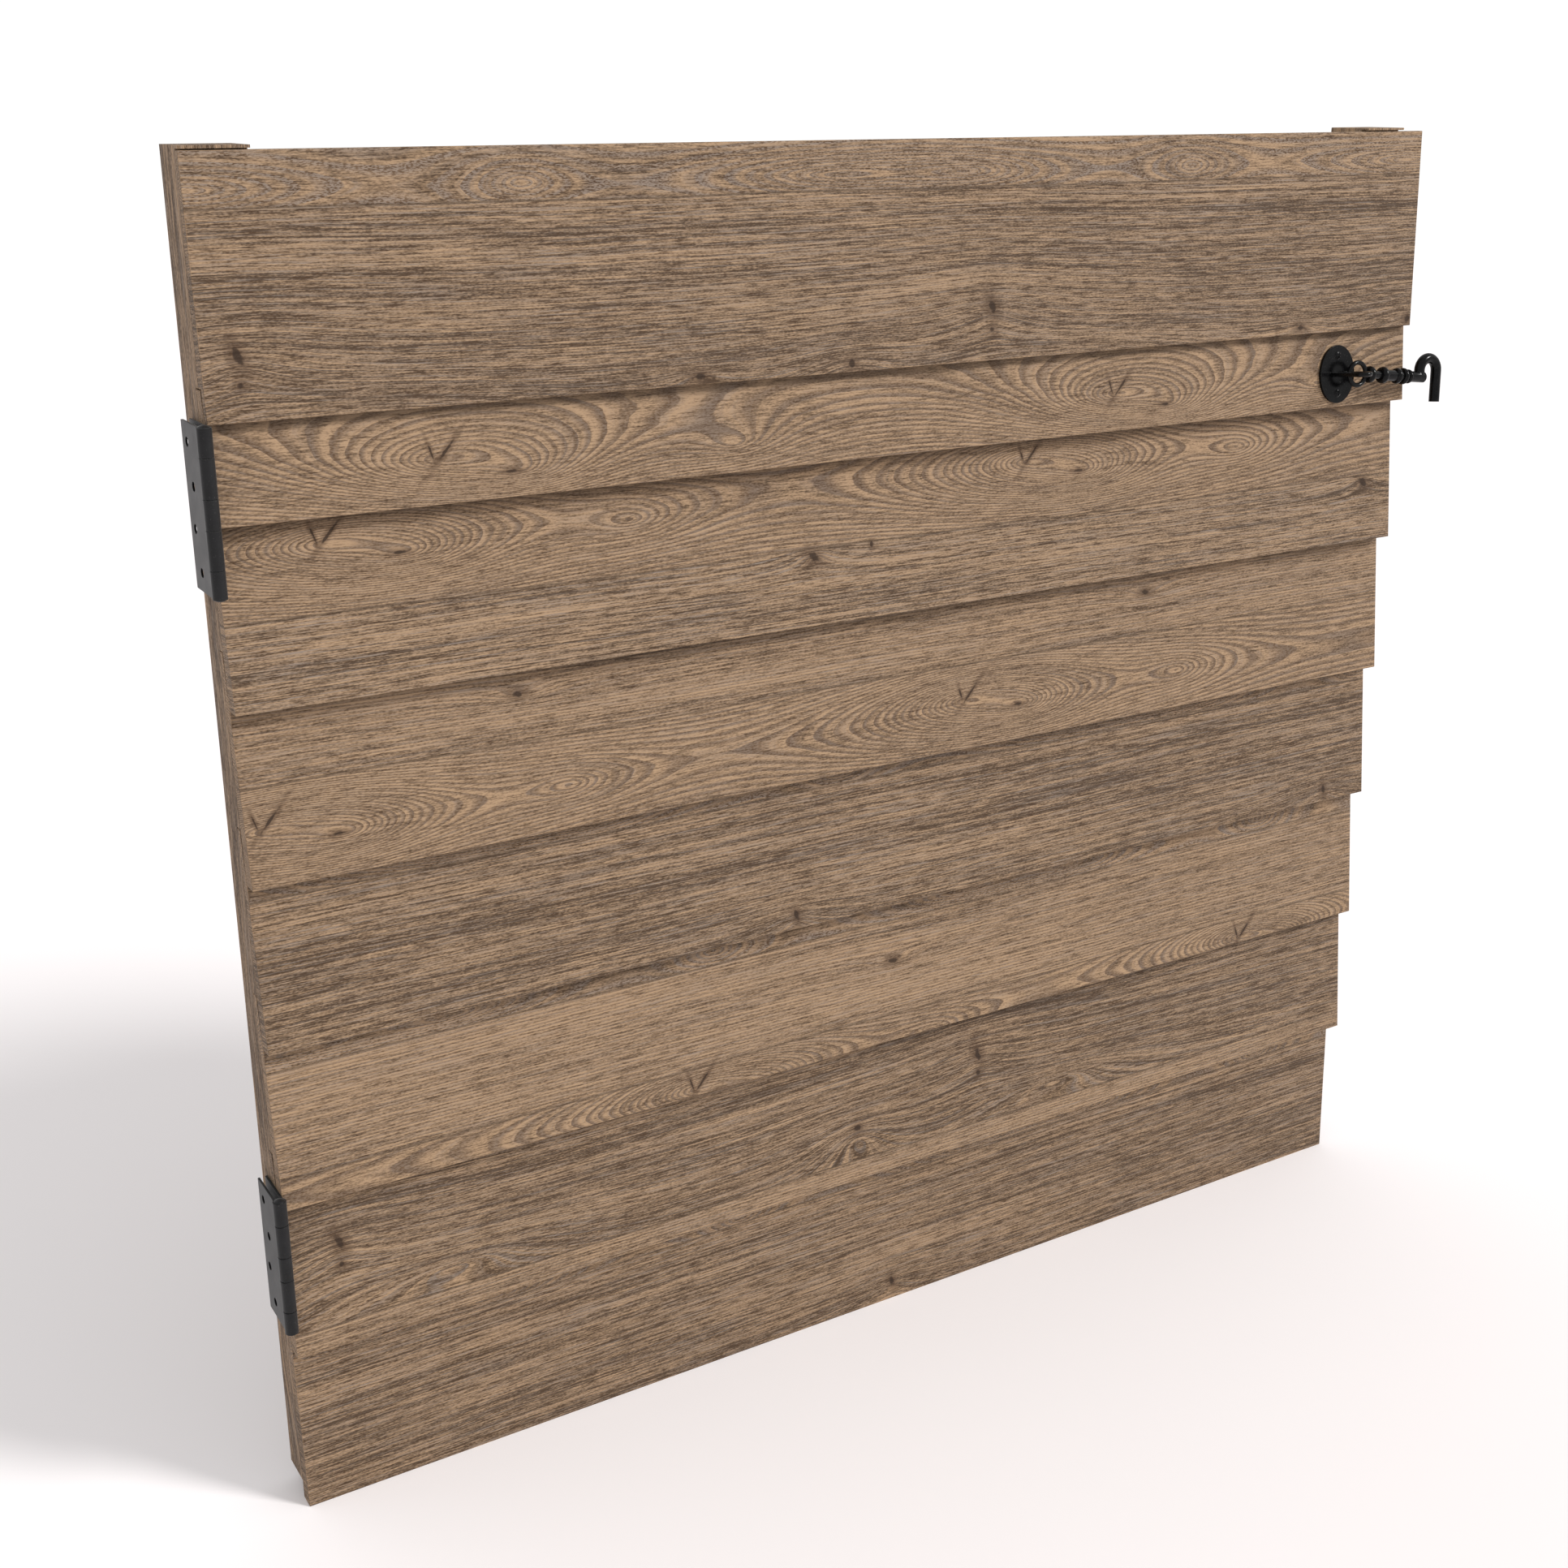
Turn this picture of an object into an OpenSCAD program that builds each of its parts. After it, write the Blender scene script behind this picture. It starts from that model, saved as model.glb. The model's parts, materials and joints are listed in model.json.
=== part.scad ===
// Garden gate: eight lapped bevel boards on two notched stiles, hung on two
// butt hinges, with a cabin hook on the second board near the latch side.
// X runs along the gate from the hinge side, the boards face -Y, Z is up.
// The origin is the middle of the lower post leaf's outer face, on the gate post.
// Inside this file the gate is drawn from its own lower back corner: X = 0 is the
// outer face of the hinge stile, Y = 0 the back of the stiles and Z = 0 the lowest
// board edge. The module on_post moves it to the origin.

/* [Gate] */
// Length of every board
gate_w = 914; // [700:1:1200]
// Height from the lowest board edge to the top board edge
gate_h = 848; // [700:1:1020]

/* [Boards] */
// Thickness of a board at its lower edge
butt_t = 11.9; // [9:0.1:14]
// Thickness of a board at its upper edge
tip_t = 4.8; // [4:0.1:6]
// Width of the top board, all of it showing
top_board_w = 140; // [115:1:170]
// Height of the second board that shows
second_show = 56; // [50:1:68]
// Height of the bottom board that shows
bottom_show = 118.5; // [98:0.5:143]
// How far a lapped board runs up behind the one above it
lap_over = 33.2; // [24:0.1:40]
// Distance from the back of the stiles to the lower front edge of a lapped board
lap_front = 42; // [40:0.1:50]
// How far the second board runs up into the top board's rebate
tuck_h = 17.5; // [12:0.5:22]

/* [Stiles] */
// Width of a stile
stile_w = 38; // [30:1:48]
// Distance from the latch stile to the free ends of the boards
latch_inset = 20; // [12:1:30]
// Height of the stiles' lower ends above the lowest board edge
stile_rise = 13.3; // [8:0.1:20]
// Height of the stile ends above the top board
stile_lug = 2.4; // [2:0.1:4]

/* [Hinges] */
// Height of a hinge
hinge_h = 94; // [80:1:112]
// Outer radius of the hinge barrel
knuckle_r = 4.2; // [3.9:0.05:4.4]
// Radius of the hinge pin
pin_r = 2.5; // [2:0.1:2.8]
// Thickness of a leaf
leaf_t = 1.5; // [1.2:0.1:1.8]
// Width of a leaf from the pin's axis
leaf_w = 34.3; // [31:0.1:41]
// Distance from the pin's axis to the outer face of the hinge stile
axis_out = 3.1; // [3:0.05:3.4]
// Distance from the gate's top to the middle of the upper hinge
upper_drop = 187; // [150:1:230]
// Distance from the gate's bottom to the middle of the lower hinge
lower_rise = 189; // [150:1:230]
// Radius of a screw hole in a leaf
leaf_hole_r = 2.8; // [2.4:0.1:3.1]

/* [Cabin hook] */
// Distance from the free ends of the boards to the middle of the plate
hook_inset = 71.6; // [60:0.1:90]
// Height of the oval plate
plate_h = 42.5; // [40:0.5:48]
// Width of the oval plate
plate_w = 34.5; // [30:0.5:40]
// Distance between the two legs of the staple
staple_span = 11.2; // [11:0.1:14]
// Radius of the staple's rod
staple_r = 1.7; // [1.4:0.1:1.8]
// Distance from the board to the middle of the staple's bow
staple_reach = 26.8; // [24:0.1:34]
// Radius of the hook's ring to the middle of its rod
ring_r = 8.3; // [7.7:0.1:8.4]
// Length of the hook's arm from the ring's middle to the upright part
arm_l = 66; // [64:0.5:80]
// Radius of the hook's rod
rod_r = 4.1; // [3.5:0.1:4.4]
// Radius of the bend in the hook
bend_r = 9.05; // [8.6:0.05:10.8]
// Length of the hook's free leg below the bend
tip_l = 23.5; // [20:0.5:28]

/* [Hidden] */
$fn = 96;

// Clearances
seat_gap = 0.05;
edge_gap = 0.8;
lap_gap = 0.15;
bottom_gap = 0.4;
rebate_gap = 0.3;
top_step = 0.1;
screw_gap = 1;
pilot_gap = 0.05;
leaf_gap = 0.4;
knuckle_gap = 0.25;
run_gap = 0.06;
hold_gap = 0.02;
end_gap = 0.1;
link_gap = 0.3;

// Boards
lap_show = (gate_h - top_board_w - second_show - bottom_show) / 5;
board_w = lap_show + lap_over;
lap_lean = (butt_t + lap_gap) / lap_show;
second_h = second_show + tuck_h;
second_z = bottom_show + 5 * lap_show;
top_z = second_z + second_show;
lap_z = [for (i = [0:4]) bottom_show + i * lap_show];
top_back = lap_front - butt_t - top_step;
stile_depth = top_back + tip_t + 0.4;
stile_top = gate_h + stile_lug;
latch_x = gate_w - latch_inset - stile_w;
screw_h = 62;

function thick(h) = butt_t - (butt_t - tip_t) * h / board_w;
function lap_face(h) = lap_front - lap_lean * h;
function lap_back(h) = lap_face(h) - thick(h);

bottom_back = lap_back(0) - bottom_gap - thick(bottom_show);
rebate_face = lap_face(second_show) + rebate_gap;

// Screws through the back of the stiles: height, depth to the board, board thickness
back_screws = concat(
    [[screw_h, bottom_back, thick(screw_h)]],
    [for (z = lap_z) [z + screw_h, lap_back(screw_h), thick(screw_h)]],
    [[second_z + 50, lap_back(50), thick(50)]],
    [for (h = [40, 104]) [top_z + h, top_back, tip_t + (butt_t - tip_t) * (1 - h / top_board_w)]]
);
bite = 0.65;
wood_shank_r = 2;
wood_head_r = 4;
wood_head_h = 2.4;
sink = 0.4;

// Hinges
upper_z = gate_h - upper_drop;
lower_z = lower_rise;
axis_x = -axis_out;
axis_y = -(lap_front + knuckle_r - 0.6);
knuckle_long = 22.3 / 94 * hinge_h;
knuckle_mid = 17 / 94 * hinge_h;
knuckle_end = (hinge_h - knuckle_mid - 2 * knuckle_long) / 2;
hole_z = [36 / 94 * hinge_h, 12.1 / 94 * hinge_h];
near_row = top_back - 5.2;
near_inset = 13.5;
row_step = 4.8;
hole_near = max(leaf_w - near_inset, -axis_y - near_row);
hole_far = hole_near + row_step;
head_flare = 1;
gate_hole_r = leaf_hole_r - 0.5;
leaf_head_r = gate_hole_r + head_flare - 0.2;
leaf_screw_r = 1.9;
leaf_screw_l = stile_w / 2 - wood_shank_r - screw_gap + leaf_t;
dome_r = 3.6;
dome_h = 1.3;

// Cabin hook
hook_x = gate_w - hook_inset;
hook_h = 24;
hook_tilt = atan(lap_lean);
plate_t = 2.2;
plate_screw_z = 13.9;
plate_shank_r = 1.5;
plate_screw_l = 7.3;
plate_head_r = 3.3;
ring_out = 12.1;
ring_rod_r = 1.7;
ring_shift = ring_r - ring_rod_r - staple_r - link_gap;
arm_droop = 6;
bead_r = 3.1;
neck_start = 20.2;
bend_rise = 4.9;
tip_lean = 3.9;
bend_rod_r = rod_r - 0.15;

// Where the origin lies from the gate's lower back corner
post_face = [axis_x - axis_out, axis_y + leaf_w / 2, lower_z];

oak = [0.56, 0.45, 0.35];
oak_dark = [0.49, 0.39, 0.30];
black_coat = [0.16, 0.16, 0.17];
gloss_black = [0.05, 0.05, 0.055];
zinc = [0.62, 0.62, 0.6];

module on_post() {
    translate(-post_face) children();
}

// A straight bar along X with a side-view outline given as distance back and height
module along_gate(x0, length) {
    translate([x0, 0, 0])
        rotate([90, 0, 90])
            linear_extrude(length)
                children();
}

// Outline of a lapped board cut off at height h above its lower edge
module lapped_outline(z0, h) {
    polygon([
        [-lap_face(0), z0], [-lap_back(0) - seat_gap, z0],
        [-lap_back(h) - seat_gap, z0 + h], [-lap_face(h), z0 + h]
    ]);
}

module lapped_board(z0, h) {
    difference() {
        along_gate(0, gate_w) lapped_outline(z0, h);
        pilot_holes();
    }
}

module pilot_holes() {
    for (x = [stile_w / 2, latch_x + stile_w / 2])
        back_screw_set(x, pilot_gap);
    for (z = [upper_z, lower_z])
        hinge_frame(z) leaf_screw_set(pilot_gap);
}

// The outline of a stile, its front notched to seat the leaning boards
module stile_outline() {
    polygon(concat(
        [[0, stile_rise], [-bottom_back, stile_rise], [-bottom_back, board_w + edge_gap]],
        [for (i = [0:4]) for (h = [i == 0 ? board_w - bottom_show : lap_over, board_w])
            [-lap_back(h + edge_gap), lap_z[i] + h + edge_gap]],
        [for (h = [lap_over, second_h]) [-lap_back(h + edge_gap), second_z + h + edge_gap]],
        [[-top_back, top_z + tuck_h + edge_gap], [-top_back, gate_h + edge_gap],
         [-stile_depth, gate_h + edge_gap], [-stile_depth, stile_top], [0, stile_top]]
    ));
}

module stile(x0) {
    difference() {
        along_gate(x0, stile_w) stile_outline();
        pilot_holes();
    }
}

// A countersunk wood screw pointing along -Y with its head at Y = 0
module back_screw(tip, grow) {
    rotate([90, 0, 0]) {
        translate([0, 0, grow > 0 ? -1 : sink])
            cylinder(r = wood_head_r + grow, h = (grow > 0 ? 1 + sink : 0.3) + 0.02);
        translate([0, 0, sink + 0.3])
            cylinder(r1 = wood_head_r + grow, r2 = wood_shank_r + grow, h = wood_head_h);
        if (grow > 0)
            translate([0, 0, sink])
                cylinder(r = wood_head_r + grow, h = 0.31);
        translate([0, 0, sink + wood_head_h])
            cylinder(r = wood_shank_r + grow, h = tip - sink - wood_head_h - 4);
        translate([0, 0, tip - 4.01])
            cylinder(r1 = wood_shank_r + grow, r2 = 0.4 + grow, h = 4 + grow);
    }
}

module back_screw_set(x, grow) {
    for (s = back_screws)
        translate([x, 0, s[0]])
            back_screw(s[1] + bite * s[2], grow);
}

module cross_slot(length, depth) {
    for (a = [0, 90])
        rotate([0, 0, a])
            translate([-length / 2, -0.45, 0])
                cube([length, 0.9, depth]);
}

module stile_screws(x) {
    difference() {
        back_screw_set(x, 0);
        for (s = back_screws)
            translate([x, -sink, s[0]])
                rotate([90, 0, 0])
                    translate([0, 0, -1])
                        cross_slot(4.4, 2.5);
    }
}

// Hinge parts stand about the pin: +X is towards the stile, +Y towards its back
module hinge_frame(z) {
    translate([axis_x, axis_y, z]) children();
}

function knuckle_top(i) = hinge_h / 2 - [0, knuckle_end, knuckle_end + knuckle_long,
    knuckle_end + knuckle_long + knuckle_mid, knuckle_end + 2 * knuckle_long + knuckle_mid][i];
function knuckle_len(i) = [knuckle_end, knuckle_long, knuckle_mid, knuckle_long, knuckle_end][i];

module knuckle(i, r, grow) {
    translate([0, 0, knuckle_top(i) - knuckle_len(i) - grow])
        cylinder(r = r, h = knuckle_len(i) + 2 * grow);
}

// A leaf lying from x0 towards +X, its own knuckles rolled about the pin
module leaf(x0, own, other, bore) {
    difference() {
        union() {
            translate([x0, 0, -hinge_h / 2])
                cube([leaf_t, leaf_w, hinge_h]);
            for (i = own)
                knuckle(i, knuckle_r, 0);
        }
        for (i = other)
            knuckle(i, knuckle_r + leaf_gap, knuckle_gap);
        for (i = [0:4])
            knuckle(i, bore, 1);
    }
}

// Four places down the leaf, far from the pin and near it by turns
module leaf_holes(sunk_to) {
    for (side = [0, 1], row = [0, 1])
        translate([sunk_to, side == row ? hole_far : hole_near, (1 - 2 * side) * hole_z[row]])
            rotate([0, sunk_to > 0 ? 90 : -90, 0])
                children();
}

module screw_hole(r) {
    translate([0, 0, -1])
        cylinder(r = r, h = leaf_t + 2);
    translate([0, 0, -0.01])
        cylinder(r1 = r + head_flare, r2 = r, h = head_flare);
}

module gate_leaf(z) {
    hinge_frame(z)
        difference() {
            leaf(axis_out - leaf_t - seat_gap, [0, 2, 4], [1, 3], pin_r + hold_gap);
            leaf_holes(axis_out - leaf_t - seat_gap) screw_hole(gate_hole_r);
        }
}

module post_leaf(z) {
    hinge_frame(z)
        difference() {
            leaf(-axis_out, [1, 3], [0, 2, 4], pin_r + run_gap);
            leaf_holes(leaf_t - axis_out) screw_hole(leaf_hole_r);
        }
}

module domed_end() {
    rotate_extrude()
        intersection() {
            translate([0, dome_h - (dome_r * dome_r + dome_h * dome_h) / (2 * dome_h)])
                circle(r = (dome_r * dome_r + dome_h * dome_h) / (2 * dome_h));
            square([dome_r + 1, dome_h + 1]);
        }
}

module hinge_pin(z) {
    hinge_frame(z) {
        translate([0, 0, -hinge_h / 2 - end_gap])
            cylinder(r = pin_r, h = hinge_h + 2 * end_gap);
        for (a = [0, 180])
            rotate([a, 0, 0])
                translate([0, 0, hinge_h / 2 + end_gap - 0.01])
                    domed_end();
    }
}

module leaf_screw_set(grow) {
    leaf_holes(axis_out - leaf_t - seat_gap) {
        translate([0, 0, 0.1])
            cylinder(r1 = leaf_head_r, r2 = leaf_screw_r, h = leaf_head_r - leaf_screw_r);
        translate([0, 0, leaf_head_r - leaf_screw_r])
            cylinder(r = leaf_screw_r + grow, h = leaf_screw_l - leaf_head_r + leaf_screw_r - 3.4);
        translate([0, 0, leaf_screw_l - 3.41])
            cylinder(r1 = leaf_screw_r + grow, r2 = 0.4 + grow, h = 3.4 + grow);
    }
}

module leaf_screws(z) {
    hinge_frame(z)
        difference() {
            leaf_screw_set(0);
            leaf_holes(axis_out - leaf_t - seat_gap)
                translate([0, 0, -1])
                    cross_slot(3.8, 2);
        }
}

// The hook's plate stands square to the second board's leaning face
module hook_frame() {
    translate([hook_x, -lap_face(hook_h), second_z + hook_h])
        rotate([-hook_tilt, 0, 0])
            children();
}

module plate_screw_shanks(grow) {
    for (z = [-plate_screw_z, plate_screw_z])
        translate([0, 0, z])
            rotate([-90, 0, 0]) {
                translate([0, 0, -plate_t - 0.2])
                    cylinder(r = plate_shank_r + grow, h = plate_screw_l + plate_t - 2);
                translate([0, 0, plate_screw_l - 2.21])
                    cylinder(r1 = plate_shank_r + grow, r2 = 0.3 + grow, h = 2.2 + grow);
            }
}

module hinge_stile() {
    color(oak_dark) on_post() stile(0);
}

module latch_stile() {
    color(oak_dark) on_post() stile(latch_x);
}

module top_board() {
    color(oak) on_post()
        difference() {
            along_gate(0, gate_w)
                polygon([
                    [-top_back - butt_t, top_z], [-rebate_face, top_z],
                    [-rebate_face, top_z + tuck_h + edge_gap],
                    [-top_back - seat_gap, top_z + tuck_h + edge_gap],
                    [-top_back - seat_gap, gate_h], [-top_back - tip_t, gate_h]
                ]);
            pilot_holes();
        }
}

module second_board() {
    color(oak) on_post()
        difference() {
            lapped_board(second_z, second_h);
            hook_frame() plate_screw_shanks(pilot_gap);
        }
}

module lap_board_1() {
    color(oak) on_post() lapped_board(lap_z[4], board_w);
}

module lap_board_2() {
    color(oak) on_post() lapped_board(lap_z[3], board_w);
}

module lap_board_3() {
    color(oak) on_post() lapped_board(lap_z[2], board_w);
}

module lap_board_4() {
    color(oak) on_post() lapped_board(lap_z[1], board_w);
}

module lap_board_5() {
    color(oak) on_post() lapped_board(lap_z[0], board_w);
}

module bottom_board() {
    color(oak) on_post()
        difference() {
            along_gate(0, gate_w)
                polygon([
                    [-bottom_back - butt_t, 0], [-bottom_back - seat_gap, 0],
                    [-bottom_back - seat_gap, board_w], [-bottom_back - tip_t, board_w]
                ]);
            pilot_holes();
        }
}

module hinge_stile_screws() {
    color(zinc) on_post() stile_screws(stile_w / 2);
}

module latch_stile_screws() {
    color(zinc) on_post() stile_screws(latch_x + stile_w / 2);
}

module upper_gate_leaf() {
    color(black_coat) on_post() gate_leaf(upper_z);
}

module upper_post_leaf() {
    color(black_coat) on_post() post_leaf(upper_z);
}

module upper_hinge_pin() {
    color(black_coat) on_post() hinge_pin(upper_z);
}

module upper_leaf_screws() {
    color(black_coat) on_post() leaf_screws(upper_z);
}

module lower_gate_leaf() {
    color(black_coat) on_post() gate_leaf(lower_z);
}

module lower_post_leaf() {
    color(black_coat) on_post() post_leaf(lower_z);
}

module lower_hinge_pin() {
    color(black_coat) on_post() hinge_pin(lower_z);
}

module lower_leaf_screws() {
    color(black_coat) on_post() leaf_screws(lower_z);
}

module hook_plate() {
    color(gloss_black) on_post()
        hook_frame()
            difference() {
                rotate([90, 0, 0])
                    translate([0, 0, seat_gap])
                        linear_extrude(plate_t)
                            scale([plate_w / plate_h, 1])
                                circle(d = plate_h);
                for (x = [-staple_span / 2, staple_span / 2])
                    translate([x, 1, 0])
                        rotate([90, 0, 0])
                            cylinder(r = staple_r + hold_gap, h = plate_t + 2);
                for (z = [-plate_screw_z, plate_screw_z])
                    translate([0, 1, z])
                        rotate([90, 0, 0])
                            cylinder(r = plate_shank_r + 0.15, h = plate_t + 2);
            }
}

module hook_plate_screws() {
    color(gloss_black) on_post()
        hook_frame()
            difference() {
                union() {
                    plate_screw_shanks(0);
                    for (z = [-plate_screw_z, plate_screw_z])
                        translate([0, -plate_t - seat_gap - 0.05, z])
                            rotate([90, 0, 0])
                                scale([plate_head_r / dome_r, plate_head_r / dome_r, 1])
                                    domed_end();
                }
                for (z = [-plate_screw_z, plate_screw_z])
                    translate([0, -plate_t - 3, z])
                        rotate([-90, 0, 0])
                            cross_slot(3.6, 2.4);
            }
}

module hook_staple() {
    color(gloss_black) on_post()
        hook_frame() {
            for (x = [-staple_span / 2, staple_span / 2])
                translate([x, -seat_gap - 0.1, 0])
                    rotate([90, 0, 0])
                        cylinder(r = staple_r, h = staple_reach - seat_gap - 0.1);
            translate([0, -staple_reach, 0])
                rotate([0, 0, 180])
                    rotate_extrude(angle = 180)
                        translate([staple_span / 2, 0])
                            circle(r = staple_r);
        }
}

// Beads and collars turned on the arm: place along the arm, outer radius, bulge radius
arm_turnings = [
    [ring_r + 4.2, 2 * bead_r, bead_r],
    [ring_r + 18.1, 2 * bead_r, bead_r],
    [arm_l - 24.5, rod_r + 1.75, 2.6],
    [arm_l - 17.8, rod_r + 2.05, 2.2],
    [arm_l - 12.4, rod_r + 1.2, 1.8]
];

module turned_arm() {
    rotate([0, 90, 0])
        rotate_extrude()
            intersection() {
                union() {
                    translate([0, ring_r])
                        square([bead_r - 0.1, neck_start]);
                    translate([0, ring_r + neck_start])
                        square([rod_r, arm_l + rod_r - ring_r - neck_start]);
                    for (t = arm_turnings)
                        translate([t[1] - t[2], t[0]])
                            circle(r = t[2]);
                }
                square([rod_r * 3, arm_l + 2 * rod_r]);
            }
}

module bent_tip() {
    rotate([0, tip_lean, 0]) {
        cylinder(r = bend_rod_r, h = bend_rise);
        translate([bend_r, 0, bend_rise])
            rotate([90, 0, 0])
                rotate_extrude(angle = 180)
                    translate([bend_r, 0])
                        circle(r = bend_rod_r);
        translate([2 * bend_r, 0, bend_rise - tip_l])
            cylinder(r = bend_rod_r, h = tip_l);
    }
}

module hook_arm() {
    color(gloss_black) on_post()
        hook_frame()
            translate([staple_span / 2, -ring_out, 0])
                rotate([0, arm_droop, 0])
                    translate([ring_shift, 0, 0]) {
                        rotate([90, 0, 0])
                            rotate_extrude()
                                translate([ring_r, 0])
                                    circle(r = ring_rod_r);
                        turned_arm();
                        translate([arm_l, 0, 0])
                            rotate([0, -arm_droop, 0])
                                bent_tip();
                    }
}

hinge_stile();
latch_stile();
top_board();
second_board();
lap_board_1();
lap_board_2();
lap_board_3();
lap_board_4();
lap_board_5();
bottom_board();
hinge_stile_screws();
latch_stile_screws();
upper_gate_leaf();
upper_post_leaf();
upper_hinge_pin();
upper_leaf_screws();
lower_gate_leaf();
lower_post_leaf();
lower_hinge_pin();
lower_leaf_screws();
hook_plate();
hook_plate_screws();
hook_staple();
hook_arm();
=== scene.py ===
import json
import math

import bmesh
import bpy
from mathutils import Euler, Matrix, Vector


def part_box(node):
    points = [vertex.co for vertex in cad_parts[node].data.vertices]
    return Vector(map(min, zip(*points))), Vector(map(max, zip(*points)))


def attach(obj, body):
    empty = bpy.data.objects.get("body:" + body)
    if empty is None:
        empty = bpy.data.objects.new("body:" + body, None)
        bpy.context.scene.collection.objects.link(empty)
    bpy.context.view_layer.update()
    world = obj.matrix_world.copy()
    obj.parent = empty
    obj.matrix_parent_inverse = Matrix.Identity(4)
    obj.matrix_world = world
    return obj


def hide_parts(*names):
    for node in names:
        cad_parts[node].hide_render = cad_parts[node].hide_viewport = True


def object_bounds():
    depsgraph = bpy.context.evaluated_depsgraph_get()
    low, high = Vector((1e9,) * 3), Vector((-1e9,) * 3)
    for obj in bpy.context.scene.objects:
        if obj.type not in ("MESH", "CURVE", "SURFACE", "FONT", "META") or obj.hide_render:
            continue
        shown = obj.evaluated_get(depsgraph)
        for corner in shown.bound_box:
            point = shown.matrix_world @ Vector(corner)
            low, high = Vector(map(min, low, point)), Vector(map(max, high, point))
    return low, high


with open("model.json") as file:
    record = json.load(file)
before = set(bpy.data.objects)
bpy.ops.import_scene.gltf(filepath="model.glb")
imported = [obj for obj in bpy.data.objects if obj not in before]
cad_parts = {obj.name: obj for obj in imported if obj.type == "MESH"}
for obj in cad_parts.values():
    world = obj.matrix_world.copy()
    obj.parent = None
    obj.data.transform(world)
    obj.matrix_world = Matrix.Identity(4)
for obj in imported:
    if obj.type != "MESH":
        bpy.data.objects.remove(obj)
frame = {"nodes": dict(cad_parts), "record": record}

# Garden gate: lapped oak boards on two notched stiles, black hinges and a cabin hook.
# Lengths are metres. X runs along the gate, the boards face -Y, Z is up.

CAD_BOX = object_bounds()
GATE_LOW, GATE_HIGH = (Vector(corner) for corner in CAD_BOX)

# ---------------------------------------------------------------- view and light

CAMERA_AT = Vector((-0.2744, -1.0772, 0.6900))
CAMERA_YAW = 31.03
CAMERA_PITCH = 19.49
CAMERA_LENS = 45.26

FLOOR_HALF = 14.0
FLOOR_COLOUR = (0.95, 0.915, 0.92)
SKY_LIGHT = 0.78
SKY_SEEN = 1.05
TOWARDS_KEY = (0.57, -0.60, 0.58)
KEY_STRENGTH = 2.2
KEY_SPREAD = 13.0
KEY_COLOUR = (1.0, 0.985, 0.97)


def add_camera():
    data = bpy.data.cameras.new("camera")
    data.lens = CAMERA_LENS
    data.sensor_width = 36.0
    data.clip_start = 0.01
    camera = bpy.data.objects.new("camera", data)
    camera.location = CAMERA_AT
    tilt = math.radians(90.0 - CAMERA_PITCH)
    camera.rotation_euler = Euler((tilt, 0.0, -math.radians(CAMERA_YAW)))
    bpy.context.scene.collection.objects.link(camera)
    bpy.context.scene.camera = camera


def add_soft_sun(name, towards, strength, spread, colour):
    """A broad, even light from one side; towards points from the gate to the light."""
    data = bpy.data.lights.new(name, "SUN")
    data.energy = strength
    data.angle = math.radians(spread)
    data.color = colour
    light = bpy.data.objects.new(name, data)
    light.rotation_euler = (-Vector(towards)).to_track_quat("-Z", "Y").to_euler()
    bpy.context.scene.collection.objects.link(light)


def add_sky():
    world = bpy.data.worlds.new("studio")
    world.use_nodes = True
    w = Wiring(world.node_tree)
    background = world.node_tree.nodes["Background"]
    seen = w.node("ShaderNodeLightPath").outputs["Is Camera Ray"]
    background.inputs["Color"].default_value = (1.0, 1.0, 1.0, 1.0)
    w.plug(background.inputs["Strength"], w.blend(seen, SKY_LIGHT, SKY_SEEN))
    bpy.context.scene.world = world


# ---------------------------------------------------------------- node helpers


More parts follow.
